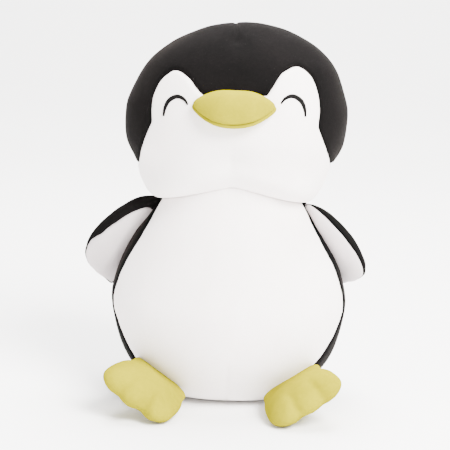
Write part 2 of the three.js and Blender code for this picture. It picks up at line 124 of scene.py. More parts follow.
# ---- skins: triangle meshes that are cut along seam lines into panels ----------------------------
class Skin:
    """Points with extra columns that follow them through each cut, and triangles with a panel name."""

    def __init__(self, points, tris, columns=None):
        self.v = np.asarray(points, float)
        self.t = np.asarray(tris, int)
        self.extra = {k: np.asarray(c, float) for k, c in (columns or {}).items()}
        self.panel = np.array(["whole"] * len(self.t), dtype="U40")
        self.seams = []
        self.extra["normal"] = self.normals()

    def normals(self):
        a, b, c = (self.v[self.t[:, k]] for k in range(3))
        face = np.cross(b - a, c - a)
        n = np.zeros_like(self.v)
        for k in range(3):
            np.add.at(n, self.t[:, k], face)
        return n / np.maximum(np.linalg.norm(n, axis=1, keepdims=True), 1e-12)

    def cut(self, field, panel, above, below, seam=True, snap=0.15):
        """Cuts one panel where field is 0 and names its two sides."""
        f = np.where(np.abs(field) < snap * MM, 0.0, field)
        s = np.sign(f)
        mine = self.panel == panel
        tri = self.t[mine]
        pairs = np.concatenate([tri[:, [0, 1]], tri[:, [1, 2]], tri[:, [2, 0]]])
        crossing = s[pairs[:, 0]] * s[pairs[:, 1]] < 0
        keys = np.unique(np.sort(pairs[crossing], axis=1), axis=0)
        base = len(self.v)
        w = (f[keys[:, 0]] / (f[keys[:, 0]] - f[keys[:, 1]]))[:, None]
        self.v = np.concatenate([self.v, self.v[keys[:, 0]] * (1 - w) + self.v[keys[:, 1]] * w])
        for k, c in self.extra.items():
            wk = w if c.ndim > 1 else w[:, 0]
            self.extra[k] = np.concatenate([c, c[keys[:, 0]] * (1 - wk) + c[keys[:, 1]] * wk])
        s = np.concatenate([s, np.zeros(len(keys))])
        f = np.concatenate([f, np.zeros(len(keys))])
        index = {(int(a), int(b)): base + i for i, (a, b) in enumerate(keys)}
        made = []
        for a, b, c in tri:
            corners = [int(a), int(b), int(c)]
            signs = [s[i] for i in corners]
            if min(signs) >= 0 or max(signs) <= 0:
                made.append(corners)
                continue
            if 0 in signs:
                k = signs.index(0)
                z, p, q = corners[k], corners[(k + 1) % 3], corners[(k + 2) % 3]
                m = index[(min(p, q), max(p, q))]
                made += [[z, p, m], [z, m, q]]
                continue
            k = next(k for k in range(3) if signs[k] != signs[(k + 1) % 3] and signs[k] != signs[(k + 2) % 3])
            one, p, q = corners[k], corners[(k + 1) % 3], corners[(k + 2) % 3]
            mp, mq = index[(min(one, p), max(one, p))], index[(min(one, q), max(one, q))]
            made += [[one, mp, mq], [mp, p, q], [mp, q, mq]]
        made = np.array(made, int)
        total = f[made].sum(1)
        names = np.where(total > 0, above, below).astype("U40")
        self.t = np.concatenate([self.t[~mine], made])
        self.panel = np.concatenate([self.panel[~mine], names])
        if seam:
            up = made[total > 0]
            edges = np.concatenate([up[:, [0, 1]], up[:, [1, 2]], up[:, [2, 0]]])
            edges = edges[(s[edges[:, 0]] == 0) & (s[edges[:, 1]] == 0)]
            self.seams.append(edges)

    def drop(self, panel):
        keep = self.panel != panel
        self.t, self.panel = self.t[keep], self.panel[keep]

    def seam_reach(self, edges, reach):
        """Distance from every point to a seam, and the nearest place on it; far points get `reach`."""
        ends = self.v[edges]
        spots = np.concatenate([ends[:, 0], ends[:, 1], ends.mean(1)])
        tree = KDTree(len(spots))
        for i, p in enumerate(spots):
            tree.insert(p, i)
        tree.balance()
        distance = np.full(len(self.v), reach)
        nearest = self.v.copy()
        low, high = spots.min(0) - reach, spots.max(0) + reach
        close = np.all((self.v > low) & (self.v < high), axis=1)
        for i in np.nonzero(close)[0]:
            p, _, d = tree.find(self.v[i])
            if d < reach:
                distance[i], nearest[i] = d, p
        return distance, nearest

    def groove(self, edges, depth, width, pucker=0.0, seed=1.0, share=None):
        """Draws the cloth in along a seam, with small gathers that run square to it."""
        reach = width * 3.2
        d, near = self.seam_reach(edges, reach)
        shape = np.clip(1 - d / width, 0, 1) ** 1.8
        tie = np.clip(1 - d / reach, 0, 1) ** 2
        close = d < reach
        gathers = np.zeros(len(self.v))
        if pucker and close.any():
            spots = near[close]
            gathers[close] = wave(spots, 5.5 * MM, seed) + 0.6 * wave(spots, 2.6 * MM, seed + 4)
        move = depth * shape + pucker * tie * (0.35 + gathers)
        if share is not None:
            move = move * share
        self.v = self.v - self.extra["normal"] * move[:, None]

    def relax(self, share, fixed, rounds):
        """Evens out the cloth: each point moves towards the middle of its neighbours by its share."""
        edges = np.concatenate([self.t[:, [0, 1]], self.t[:, [1, 2]], self.t[:, [2, 0]]])
        edges = np.concatenate([edges, edges[:, ::-1]])
        near = (share[edges[:, 0]] > 0) & (edges[:, 0] != edges[:, 1])
        edges = np.unique(edges[near], axis=0)
        share = share.copy()
        share[np.unique(fixed)] = 0
        counts = np.bincount(edges[:, 0], minlength=len(self.v))
        for _ in range(rounds):
            total = np.zeros_like(self.v)
            np.add.at(total, edges[:, 0], self.v[edges[:, 1]])
            middle = total / np.maximum(counts, 1)[:, None]
            self.v = self.v + share[:, None] * (middle - self.v) * (counts > 0)[:, None]

    def piece(self, panel, name, thickness=CLOTH):
        """The panel as a closed sheet of cloth, its outside at the skin."""
        tri = self.t[self.panel == panel]
        used, flat = np.unique(tri, return_inverse=True)
        tri = flat.reshape(-1, 3)
        outside = self.v[used]
        inward = self.extra["normal"][used]
        inward = inward / np.linalg.norm(inward, axis=1, keepdims=True)
        inside = outside - inward * thickness
        n = len(used)
        edges = np.concatenate([tri[:, [0, 1]], tri[:, [1, 2]], tri[:, [2, 0]]])
        keys = {(int(a), int(b)) for a, b in edges}
        rim = [(a, b) for a, b in keys if (b, a) not in keys]
        faces = [tuple(x) for x in tri.tolist()]
        faces += [(c + n, b + n, a + n) for a, b, c in tri.tolist()]
        faces += [(b, a, a + n, b + n) for a, b in rim]
        return mesh_object(name, np.concatenate([outside, inside]), faces)


def mesh_object(name, points, faces):
    mesh = bpy.data.meshes.new(name)
    mesh.from_pydata([tuple(p) for p in points], [], faces)
    mesh.validate()
    mesh.shade_smooth()
    mesh.update()
    made = bpy.data.objects.new(name, mesh)
    bpy.context.scene.collection.objects.link(made)
    return made


def grid_tris(rings, around):
    """Triangles of a closed form: a first pole, `rings` rings of `around` points, and a last pole."""
    ring, step = np.meshgrid(np.arange(rings - 1), np.arange(around), indexing="ij")
    a = 1 + ring * around + step
    b = 1 + ring * around + (step + 1) % around
    c, d = a + around, b + around
    even = ((ring + step) % 2 == 0).ravel()
    a, b, c, d = (x.ravel() for x in (a, b, c, d))
    one = np.where(even[:, None], np.stack([a, b, d], 1), np.stack([a, b, c], 1))
    two = np.where(even[:, None], np.stack([a, d, c], 1), np.stack([b, d, c], 1))
    k = np.arange(around)
    first = np.stack([np.zeros(around, int), 1 + (k + 1) % around, 1 + k], 1)
    end = 1 + (rings - 1) * around
    last = np.stack([np.full(around, end + around), end + k, end + (k + 1) % around], 1)
    return np.concatenate([first, one, two, last])


def turned(profile, rings, around):
    """Points of a profile of [radius, height] turned about +Z, bottom pole first."""
    line = catmull(profile, rings + 2)
    turn = np.linspace(0, 2 * math.pi, around, endpoint=False)
    body = line[1:-1, None, :]
    x = body[..., 0] * np.sin(turn)
    y = -body[..., 0] * np.cos(turn)
    z = np.repeat(body[..., 1], around, axis=1)
    middle = np.stack([x, y, z], 2).reshape(-1, 3)
    ends = [[0, 0, line[0, 1]], [0, 0, line[-1, 1]]]
    return np.concatenate([ends[:1], middle, ends[1:]])


# ---- materials -----------------------------------------------------------------------------------
def node_tools(name):
    material = bpy.data.materials.new(name)
    material.use_nodes = True
    tree = material.node_tree
    shader = tree.nodes["Principled BSDF"]

    def add(kind, inputs=None, **settings):
        node = tree.nodes.new(kind)
        for key, value in settings.items():
            setattr(node, key, value)
        for key, value in (inputs or {}).items():
            if isinstance(value, bpy.types.NodeSocket):
                tree.links.new(value, node.inputs[key])
            else:
                node.inputs[key].default_value = value
        return node

    return material, tree, shader, add


def plush(name, low, high, sheen, tint, sheen_roughness=0.45, nap=0.35, gloss=0.06):
    """Short-pile plush: fine fibre tips, brushed patches where the pile leans, and a soft sheen."""
    material, tree, shader, add = node_tools(name)
    where = add("ShaderNodeTexCoord").outputs["Object"]
    stretched = add("ShaderNodeMapping", {"Vector": where, "Scale": (1.0, 1.0, 0.45)}).outputs["Vector"]
    patches = add("ShaderNodeTexNoise", {"Vector": stretched, "Scale": 22.0, "Detail": 4.0, "Roughness": 0.6})
    grain = add("ShaderNodeTexNoise", {"Vector": where, "Scale": 420.0, "Detail": 5.0, "Roughness": 0.7})
    tips = add("ShaderNodeTexNoise", {"Vector": where, "Scale": 1500.0, "Detail": 3.0, "Roughness": 0.6})
    spread = add("ShaderNodeMapRange", {"Value": patches.outputs["Fac"], "From Min": 0.36, "From Max": 0.66})
    fine = add("ShaderNodeMapRange", {"Value": grain.outputs["Fac"], "From Min": 0.3, "From Max": 0.7})
    both = add("ShaderNodeMath", {0: spread.outputs[0], 1: 0.62}, operation="MULTIPLY")
    mixed = add("ShaderNodeMath", {0: fine.outputs[0], 1: 0.38, 2: both.outputs[0]}, operation="MULTIPLY_ADD")
    colour = add("ShaderNodeMix", {"Factor": mixed.outputs[0]}, data_type="RGBA")
    colour.inputs["A"].default_value = (*low, 1)
    colour.inputs["B"].default_value = (*high, 1)
    tree.links.new(colour.outputs["Result"], shader.inputs["Base Color"])
    relief = {0: grain.outputs["Fac"], 1: 0.6, 2: tips.outputs["Fac"]}
    height = add("ShaderNodeMath", relief, operation="MULTIPLY_ADD")
    bump = add("ShaderNodeBump", {"Height": height.outputs[0], "Strength": nap, "Distance": 0.0006})
    tree.links.new(bump.outputs["Normal"], shader.inputs["Normal"])
    shader.inputs["Roughness"].default_value = 0.92
    shader.inputs["Specular IOR Level"].default_value = gloss
    shader.inputs["Sheen Weight"].default_value = sheen
    shader.inputs["Sheen Roughness"].default_value = sheen_roughness
    shader.inputs["Sheen Tint"].default_value = (*tint, 1)
    return material


def satin(name, colour, roughness=0.35, gloss=0.4, scale=2600.0, strength=0.4):
    """Embroidery thread or satin ribbon: fine parallel twist, its colour darker in the twist's grooves as
    painted shade, and a silky highlight.
    """
    material, tree, shader, add = node_tools(name)
    where = add("ShaderNodeTexCoord").outputs["Object"]
    twist = add("ShaderNodeTexWave", {"Vector": where, "Scale": scale / 10, "Distortion": 1.5, "Detail": 2.0})
    # painted shade: the colour runs from 75% in the twist's low grooves to full on its ridges
    shade = add("ShaderNodeMix", {"Factor": twist.outputs["Fac"]}, data_type="RGBA")
    shade.inputs["A"].default_value = (*[c * 0.75 for c in colour], 1)
    shade.inputs["B"].default_value = (*colour, 1)
    tree.links.new(shade.outputs["Result"], shader.inputs["Base Color"])
    bump = add("ShaderNodeBump", {"Height": twist.outputs["Fac"], "Strength": strength, "Distance": 0.0002})
    tree.links.new(bump.outputs["Normal"], shader.inputs["Normal"])
    shader.inputs["Roughness"].default_value = roughness
    shader.inputs["Specular IOR Level"].default_value = gloss
    return material


BLACK = plush(
    "charcoal_plush",
    low=(0.0011, 0.0010, 0.0010),
    high=(0.0036, 0.0030, 0.0030),
    sheen=0.025,
    tint=(0.8, 0.6, 0.52),
    sheen_roughness=0.27,
    gloss=0.045,
)
WHITE_SHEEN = {"sheen": 0.2, "tint": (1.0, 0.96, 0.94), "sheen_roughness": 0.5, "nap": 0.22}
WHITE = plush("white_plush_cloth", (0.85, 0.785, 0.77), (0.92, 0.875, 0.86), **WHITE_SHEEN)
# The flippers' inner panels are the same white plush, made darker as painted shade for the shade they lie in
# beside the belly.
WHITE_PAINTED_SHADE = plush("white_cloth_painted_shade", (0.48, 0.43, 0.435), (0.57, 0.52, 0.525), **WHITE_SHEEN)
YELLOW = plush(
    "yellow_plush_cloth",
    low=(0.2, 0.176, 0.0),
    high=(0.28, 0.25, 0.0),
    sheen=0.0,
    tint=(1.0, 0.98, 0.62),
    sheen_roughness=0.5,
    nap=0.25,
    gloss=0.0,
)
THREAD = satin("black_thread", (0.003, 0.0027, 0.0027), 0.75, 0.06)
RIBBON = satin("white_ribbon", (0.86, 0.86, 0.84), 0.3)


def dress(made, material, nodes):
    made.data.materials.clear()
    made.data.materials.append(material)
    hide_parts(*nodes)
    return made


# ---- body ------------------------------------------------------------------------------------------
BODY_HALF = 88.0
WIDEST = 69.0
NECK_HALF = 54.0
NECK_AT = 151.0
BELLY_DEPTH, BACK_DEPTH = 0.86, 0.76  # front and back depth, as shares of the half width
SEAT_HALF_X, SEAT_HALF_Y = 47.0, 39.0  # the oval panel underneath
BELLY_TUCK = 13.0  # how far the front of the belly rises off the floor
NECK_RING = 149.5  # height of the sewn neck ring at the sides
NECK_RISE_FRONT, NECK_RISE_BACK = 17.0, 16.5  # how much higher it runs under the chin and at the nape
BODY_PROFILE = [
    [0, 0],
    [18, 0],
    [36, 0],
    [BODY_HALF * 0.64, 5],
    [BODY_HALF * 0.84, 24],
    [BODY_HALF * 0.94, 43],
    [BODY_HALF, WIDEST],
    [BODY_HALF * 0.97, 88],
    [BODY_HALF * 0.9, 106],
    [BODY_HALF * 0.8, 123],
    [NECK_HALF + 7.5, NECK_AT - 15],
    [NECK_HALF, NECK_AT],
    [NECK_HALF - 1, NECK_AT + 20],
    [NECK_HALF - 4, NECK_AT + 48],
    [NECK_HALF * 0.6, NECK_AT + 58],
    [0, NECK_AT + 60],
]
SIDE_SEAM = [  # the seam between belly and back, as [how far back, height]
    [-8, -20],
    [-14, 2],
    [-34, 20],
    [-32, 38],
    [-16, WIDEST],
    [-17, 98],
    [-19, 122],
    [-8, 150],
    [-8, 200],
]
SIDE_SEAM = catmull(SIDE_SEAM, 120) * MM
SEAM_UNEVEN = 4 * MM  # the seam swings further forward on the penguin's left


def body_points(rings, around):
    p = turned(BODY_PROFILE, rings, around)
    front = p[:, 1] < 0
    p[:, 1] *= np.where(front, BELLY_DEPTH, BACK_DEPTH)
    reach = np.maximum(0, -p[:, 1] - 12) / (BODY_HALF * BELLY_DEPTH)
    p[:, 2] += BELLY_TUCK * reach**2 * (1 - smooth(p[:, 2] / WIDEST))
    return p * MM


def neck_height(points):
    """Height of the neck ring above or below each point."""
    x, y = points[:, 0] / MM, points[:, 1] / MM
    under_chin = NECK_RISE_FRONT * np.clip(1 - np.hypot(x, 6) / NECK_HALF, 0, 1) * smooth(-y / 25)
    return (NECK_RING + under_chin + NECK_RISE_BACK * smooth((y + 4) / 22)) * MM


def build_body():
    rings, around = 190, 300
    p = body_points(rings, around)
    skin = Skin(p, grid_tris(rings, around))
    skin.cut(skin.v[:, 2] - neck_height(skin.v), "whole", "inside", "whole")
    neck_edges = skin.seams.pop()
    skin.drop("inside")
    oval = 1 - np.hypot(skin.v[:, 0] / (SEAT_HALF_X * MM), skin.v[:, 1] / (SEAT_HALF_Y * MM))
    oval = np.where(skin.v[:, 2] < 30 * MM, oval * 43 * MM, -1.0)
    skin.cut(oval, "whole", "base", "walls")
    uneven = SEAM_UNEVEN * np.sign(skin.v[:, 0]) * (1 - smooth(skin.v[:, 2] / (WIDEST * MM)))
    side = np.interp(skin.v[:, 2], SIDE_SEAM[:, 1], SIDE_SEAM[:, 0]) - uneven - skin.v[:, 1]
    skin.cut(side, "walls", "belly", "back")
    skin.cut(skin.v[:, 0].copy(), "back", "back_left", "back_right")
    return skin, neck_edges


def soften_body(skin, neck_edges):
    base_edges, side_edges, back_edges = skin.seams
    v = skin.v
    lumps = 0.9 * MM * wave(v, 46 * MM, 2) + 0.35 * MM * wave(v, 19 * MM, 5)
    flat = smooth((v[:, 2] - 2 * MM) / (22 * MM))
    top = smooth(((NECK_AT - 2) * MM - v[:, 2]) / (14 * MM))
    skin.v = v + skin.extra["normal"] * (lumps * flat * (0.25 + 0.75 * top))[:, None]
    skin.groove(side_edges, 2.0 * MM, 3.6 * MM, 0.42 * MM, 1)
    skin.groove(base_edges, 1.4 * MM, 3.4 * MM, 0.3 * MM, 2, share=flat * 0.6 + 0.4)
    skin.groove(back_edges, 2.0 * MM, 3.6 * MM, 0.42 * MM, 3)
    # the short seam up the middle of the belly from the seat
    x, y, z = skin.v.T
    on = (y < 0) * smooth((44 * MM - z) / (16 * MM))
    line = bell((x - 0.5 * MM) / (1.3 * MM)) * 1.0 + bell((x - 0.5 * MM) / (7 * MM)) * 0.55
    inside_walls = smooth((np.hypot(x / (SEAT_HALF_X * MM), y / (SEAT_HALF_Y * MM)) - 1) / 0.1)
    skin.v = skin.v - skin.extra["normal"] * (line * on * inside_walls * MM)[:, None]
    skin.groove(neck_edges, 1.2 * MM, 5.0 * MM, 0.5 * MM, 6)
    skin.v[:, 2] = np.maximum(skin.v[:, 2], 0)


# ---- head ------------------------------------------------------------------------------------------
HEAD_TURN = np.array(Matrix.Rotation(math.radians(-8), 3, "X") @ Matrix.Rotation(math.radians(-2.5), 3, "Z"))
HEAD_CENTRE = HEAD_TURN.T @ np.array([1.5, 4.0, 88.0])
RISE, DROP, HEAD_HALF = 59.5, 72.0, 82.0
HEAD_PROFILE = [
    [0, -DROP],
    [40, -DROP + 1],
    [53, -DROP + 2.5],
    [58.5, -DROP + 5],
    [65.5, -DROP + 15],
    [71.5, -DROP + 27],
    [80, -29],
    [HEAD_HALF, -10],
    [79.5, 5],
    [70, 27],
    [54, 43],
    [33, RISE - 5.5],
    [15, RISE - 0.8],
    [0, RISE],
]
FACE_HALF = [[23, 5], [28, 10], [34, 17], [44, 22], [53.5, 16], [58.5, 7], [61, -4], [60.5, -16]]
CHEEK_HALF = [[60.5, -16], [66, -29], [71, -43], [74, -60]]
FACE_DEPTH, HOOD_DEPTH = 0.82, 0.8  # front and back depth, as shares of the half width
CROWN_SEAM = 6.0
DART_TIP = -42.0  # where the dart ends over the forehead
UNEVEN = 6.0  # how much higher the face patch sits over the left eye


def head_world(p):
    return PIVOT + (p * MM) @ HEAD_TURN.T


def head_points(rings, around):
    """Points of the head in its own frame, in built millimetres."""
    p = turned(HEAD_PROFILE, rings, around)
    below = smooth((-p[:, 2] - 22) / 34)
    dart = 7 * below * bell(p[:, 0] / 20)
    p[:, 0] += 0.07 * p[:, 2] * np.where(p[:, 2] > 0, 1, 0.5)
    front = p[:, 1] < 0
    p[:, 1] *= np.where(front, FACE_DEPTH, HOOD_DEPTH)
    p[:, 1] += np.where(p[:, 1] < 0, dart * np.clip(-p[:, 1] / 20, 0, 1), 0)
    return p + HEAD_CENTRE


def face_outline():
    half = np.concatenate([catmull(FACE_HALF, 60), catmull(CHEEK_HALF, 40)[1:], [[74, -110]]])
    left = half.copy()
    left[:, 1] += UNEVEN * smooth((left[:, 1] + 20) / 30) * smooth((left[:, 0] - 20) / 14)
    right = half * [-1, 1]
    return np.concatenate([right[::-1], left]) + HEAD_CENTRE[[0, 2]]


def build_head():
    rings, around = 190, 300
    local = head_points(rings, around)
    skin = Skin(head_world(local), grid_tris(rings, around), {"local": local})
    skin.cut(skin.v[:, 2] - neck_height(skin.v), "whole", "whole", "inside")
    neck_edges = skin.seams.pop()
    skin.drop("inside")
    skin.cut((HEAD_CENTRE[1] + CROWN_SEAM - skin.extra["local"][:, 1]) * MM, "whole", "front", "back")
    skin.cut((skin.extra["local"][:, 0] - HEAD_CENTRE[0]) * MM, "back", "hood_back_left", "hood_back_right")
    local = skin.extra["local"]
    inside = signed_distance(local[:, [0, 2]], face_outline()) * MM
    skin.cut(inside, "front", "face", "hood_front")
    return skin, neck_edges


def meet_ring(head, head_edges, body, body_edges):
    """Brings the head's neck edge onto the body's neck edge, so that they are sewn into one ring."""
    def ring(skin, edges):
        spots = skin.v[np.unique(edges)]
        turn = np.arctan2(spots[:, 1], spots[:, 0])
        order = np.argsort(turn)
        turn, spots = turn[order], spots[order]
        turn = np.concatenate([turn - 2 * math.pi, turn, turn + 2 * math.pi])
        return turn, np.concatenate([spots] * 3)

    head_turn, head_ring = ring(head, head_edges)
    body_turn, body_ring = ring(body, body_edges)
    d, _ = head.seam_reach(head_edges, 26 * MM)
    at = np.arctan2(head.v[:, 1], head.v[:, 0])
    share = (1 - smooth(d / (26 * MM)))[:, None]
    have = np.stack([np.interp(at, head_turn, head_ring[:, k]) for k in range(3)], 1)
    want = np.stack([np.interp(at, body_turn, body_ring[:, k]) for k in range(3)], 1)
    low = (head.v[:, 2] < PIVOT[2] + 60 * MM)[:, None]
    head.v = head.v + np.where(low, share * (want - have), 0)


def soften_head(skin, neck_edges):
    crown_edges, back_edges, face_edges = skin.seams
    local = skin.extra["local"] - HEAD_CENTRE
    v = skin.v
    lumps = 1.0 * MM * wave(v, 52 * MM, 8) + 0.35 * MM * wave(v, 20 * MM, 9)
    d, _ = skin.seam_reach(neck_edges, 40 * MM)
    # the filling bulges over the neck seam, so that the chin and the cheeks overhang it
    in_front = smooth((-local[:, 1] - 8) / 28)
    overhang = 3.6 * MM * bell((d - 12 * MM) / (8 * MM)) * smooth(d / (6 * MM)) * in_front
    skin.v = v + skin.extra["normal"] * (overhang + lumps * smooth(d / (20 * MM)))[:, None]
    skin.groove(crown_edges, 2.0 * MM, 3.6 * MM, 0.4 * MM, 11)
    skin.groove(back_edges, 2.0 * MM, 3.6 * MM, 0.4 * MM, 12)
    skin.groove(face_edges, 1.5 * MM, 2.8 * MM, 0.22 * MM, 13)
    x, y, z = local.T
    # the dart over the forehead, from the crown seam to a small dimple
    along = smooth((y - DART_TIP) / 8) * (y < CROWN_SEAM + 1) * (z > 0)
    centre = -0.5 - 0.077 * (y - DART_TIP)
    crease = bell((x - centre) / 1.2) * 1.0 + bell((x - centre) / 5) * 0.3
    dimple = 1.5 * bell((x - centre) / 4.5) * bell((y - DART_TIP) / 4.5) * (z > 0)
    # the faint seam under the chin
    chin = (y < 0) * smooth((-28 - z) / 16)
    mouth = bell((x + 1) / 1.4) * 0.8 + bell((x + 1) / 8) * 0.9
    skin.v = skin.v - skin.extra["normal"] * ((crease * along + dimple + chin * mouth) * MM)[:, None]
    skin.groove(neck_edges, 1.2 * MM, 5.0 * MM, 0.5 * MM, 6)


# ---- pillows: two panels sewn round a rim --------------------------------------------------------
class Pillow:
    """A stuffed form with a closed outline in its own X and Y and its thickness along Z.

    Its skin carries the local place of each point, the sweep from the upper middle (0) over the rim (1)
    to the lower middle (2), and the heading of each point from the middle.
    """

    def __init__(self, outline, middle, upper, lower, swell, place, rings=34, around=150, power=2.3):
        edge = catmull(outline, around, closed=True)
        middle = np.array(middle, float)
        share = np.sin(np.linspace(0, math.pi / 2, rings + 1)[1:])
        spans = np.concatenate([share, share[:-1][::-1]])
        sides = np.concatenate([np.ones(rings), -np.ones(rings - 1)])
        plan = middle + (edge[None] - middle) * spans[:, None, None]
        full = np.where(sides > 0, upper, lower)[:, None] * swell(plan)
        height = full * ((1 - spans**power) ** 0.54)[:, None] * sides[:, None]
        points = np.concatenate([plan, height[..., None]], 2).reshape(-1, 3)
        at_middle = float(swell(middle[None])[0])
        poles = [[*middle, upper * at_middle], [*middle, -lower * at_middle]]
        local = np.concatenate([poles[:1], points, poles[1:]])
        across = np.concatenate([spans[:rings], 2 - spans[rings:]])
        sweep = np.concatenate([[0], np.repeat(across, around), [2]])
        turn = np.arctan2(local[:, 1] - middle[1], local[:, 0] - middle[0])
        heading = np.stack([np.cos(turn), np.sin(turn)], 1)
        tris = grid_tris(len(spans), around)
        self.place = place
        self.skin = Skin(local, tris[:, ::-1], {"local": local, "sweep": sweep, "heading": heading})

    def carve(self, depth):
        """Moves the form inwards by depth, in built millimetres, before it is placed."""
        self.skin.v = self.skin.v - self.skin.extra["normal"] * depth[:, None]

    def set_down(self):
        m = np.array(self.place)
        skin = self.skin
        skin.v = (skin.v * MM) @ m[:3, :3].T + m[:3, 3]
        turned_way = skin.extra["normal"] @ m[:3, :3].T
        skin.extra["normal"] = turned_way / np.linalg.norm(turned_way, axis=1, keepdims=True)
        if np.linalg.det(m[:3, :3]) < 0:
            skin.t = skin.t[:, ::-1]


def frame_matrix(origin, x, y, z):
    m = Matrix.Identity(4)
    for i, column in enumerate((x, y, z, origin)):
        for k in range(3):
            m[k][i] = column[k]
    return m


def flat_swell(root_share, reach):
    """Thin at the sewn root, root_share of the full thickness, and full past reach."""
    return lambda plan: root_share + (1 - root_share) * smooth((plan[..., 1] - 1) / reach)


def even_swell(plan):
    return np.ones(plan.shape[:-1])


# ---- flippers --------------------------------------------------------------------------------------
FLIPPER_LONG, FLIPPER_WIDE, FLIPPER_THICK = 70.0, 33.0, 19.0
FLIPPER_SLOPE, FLIPPER_BACK = 62, 20  # degrees below level, and back from square


def build_flipper(side, mirror, open_angle, stretch):
    joint = JOINTS[f"flipper_flap_{side}"]
    slope = math.radians(FLIPPER_SLOPE)
    out = Vector((math.sin(slope), 0, math.cos(slope)))
    down = Vector((math.cos(slope), 0, -math.sin(slope)))
    down.rotate(Matrix.Rotation(math.radians(FLIPPER_BACK), 3, out))
    turn = Matrix.Rotation(math.radians(open_angle), 3, down)
    y, z = turn @ out, turn @ down.cross(out)
    flip = Matrix.Diagonal((mirror, 1, 1))
    place = frame_matrix(joint["pos_m"], flip @ down, flip @ y, flip @ z)
    l, w = FLIPPER_LONG * stretch, FLIPPER_WIDE
    outline = [
        [l * 1.14, -w * 0.1],
        [l * 1.12, w * 0.2],
        [l * 1.05, w * 0.56],
        [l * 0.97, w * 0.8],
        [l * 0.85, w * 0.95],
        [l * 0.67, w],
        [l * 0.46, w * 0.91],
        [l * 0.25, w * 0.73],
        [l * 0.06, w * 0.46],
        [-2, w * 0.14],
        [1, -2],
        [14, -5],
        [28, -5],
        [l * 0.6, -5],
        [l * 0.86, -2],
    ]
    half = FLIPPER_THICK / 2
    return Pillow(outline, [l * 0.5, w * 0.5], half, half, flat_swell(0.42, w * 0.42), place)


def sew_flipper(pillow, side, wrap):
    skin = pillow.skin
    local = skin.extra["local"]
    lumps = 0.5 * wave(local, 17, 21 if side == "left" else 22) + 0.25 * wave(local, 7, 23)
    pillow.carve(-lumps * smooth((local[:, 1] - 2) / 12))
    # the black side wraps over the top and outer edge, least at the tip
    down, out = skin.extra["heading"].T
    shoulder = smooth(-down)
    outer_edge = smooth((out + 0.45 + 0.4 * shoulder) / 0.5)
    wrap = wrap * smooth((0.8 - down) / 0.55) * outer_edge * (1 + 0.3 * shoulder)
    pillow.set_down()
    field = (1.0 - wrap - skin.extra["sweep"]) * 16 * MM
    skin.cut(field, "whole", "inner", "outer")
    skin.groove(skin.seams[0], 1.3 * MM, 2.8 * MM, 0.4 * MM, 24)
    return skin


# ---- feet ------------------------------------------------------------------------------------------
FOOT_LONG, FOOT_WIDE, FOOT_THICK = 54.0, 60.0, 23.0
FOOT_ROLL, FOOT_PITCH = 31, -6  # degrees
TOE_DENTS = (-0.34, 0.34)  # between the three toes, as shares of the half width


def build_foot(side, mirror, splay, toes):
    joint = JOINTS[f"foot_bend_{side}"]
    turn = (
        Matrix.Rotation(math.pi + math.radians(splay), 3, "Z")
        @ Matrix.Rotation(math.radians(FOOT_ROLL), 3, "Y")
        @ Matrix.Rotation(math.radians(FOOT_PITCH), 3, "X")
    )
    flip = Matrix.Diagonal((mirror, 1, 1))
    columns = [flip @ Vector([turn[k][i] for k in range(3)]) for i in range(3)]
    place = frame_matrix(joint["pos_m"], *columns)
    l, w = FOOT_LONG, FOOT_WIDE / 2
    reach = l * toes
    outline = [
        [w * 0.98, l * 0.5],
        [w * 0.97, l * 0.79],
        [w * 0.7, l * 0.955],
        [w * 0.34, l * 0.94],
        [0, reach],
        [-w * 0.34, reach * 0.965],
        [-w * 0.7, reach * 0.95],
        [-w * 0.94, reach * 0.8],
        [-w * 0.92, l * 0.5],
        [-w * 0.78, l * 0.24],
        [-21, 1],
        [0, -2],
        [21, 1],
        [w * 0.86, l * 0.24],
    ]
    half = FOOT_THICK / 2
    return Pillow(outline, [0, l * 0.5], half, half, flat_swell(0.4, l * 0.45), place)


def sew_foot(pillow, side):
    skin = pillow.skin
    x, y, z = skin.extra["local"].T
    lumps = 0.5 * wave(skin.extra["local"], 18, 31 if side == "left" else 32)
    toes = np.zeros(len(x))
    for at in TOE_DENTS:
        line = x - at * FOOT_WIDE / 2 * (0.65 + 0.35 * y / FOOT_LONG)
        toes += bell(line / 3.0) * smooth((y - FOOT_LONG * 0.62) / (FOOT_LONG * 0.33))
        toes += 0.8 * bell(line / 4.2) * bell((y - FOOT_LONG * 0.72) / 5) * (z > 0)
    on_top = smooth((z + 4) / 8)
    pillow.carve((0.5 + 1.1 * on_top) * toes - lumps * smooth((y - 2) / 12))
    pillow.set_down()
    skin.cut((1.2 - skin.extra["sweep"]) * 16 * MM, "whole", "top", "sole")
    skin.groove(skin.seams[0], 1.2 * MM, 2.8 * MM, 0.38 * MM, 33)
    return skin


# ---- beak ------------------------------------------------------------------------------------------
BEAK_HALF, BEAK_REACH, BEAK_ROOT = 29.5, 20.5, 9.0
BEAK_UPPER, BEAK_LOWER = 13.0, 7.0  # thickness above and below the rim
BEAK_TILT = -48  # degrees


def build_beak():
    w, r, root = BEAK_HALF, BEAK_REACH, BEAK_ROOT
    outline = [
        [w, 0],
        [w * 0.86, r * 0.42],
        [w * 0.5, r * 0.84],
        [0, r],
        [-w * 0.5, r * 0.84],
        [-w * 0.86, r * 0.42],
        [-w, 0],
        [-w * 0.6, -root],
        [0, -root * 1.15],
        [w * 0.6, -root],
    ]
    origin = HEAD_CENTRE + [0, 3 - HEAD_HALF * FACE_DEPTH, -2.5]
    turn = Matrix.Rotation(math.pi, 3, "Z") @ Matrix.Rotation(math.radians(BEAK_TILT), 3, "X")
    turn = Matrix(HEAD_TURN.tolist()) @ turn
    columns = [Vector([turn[k][i] for k in range(3)]) for i in range(3)]
    place = frame_matrix(head_world(origin), *columns)
    return Pillow(outline, [0, 2], BEAK_UPPER, BEAK_LOWER, even_swell, place, power=2.0)


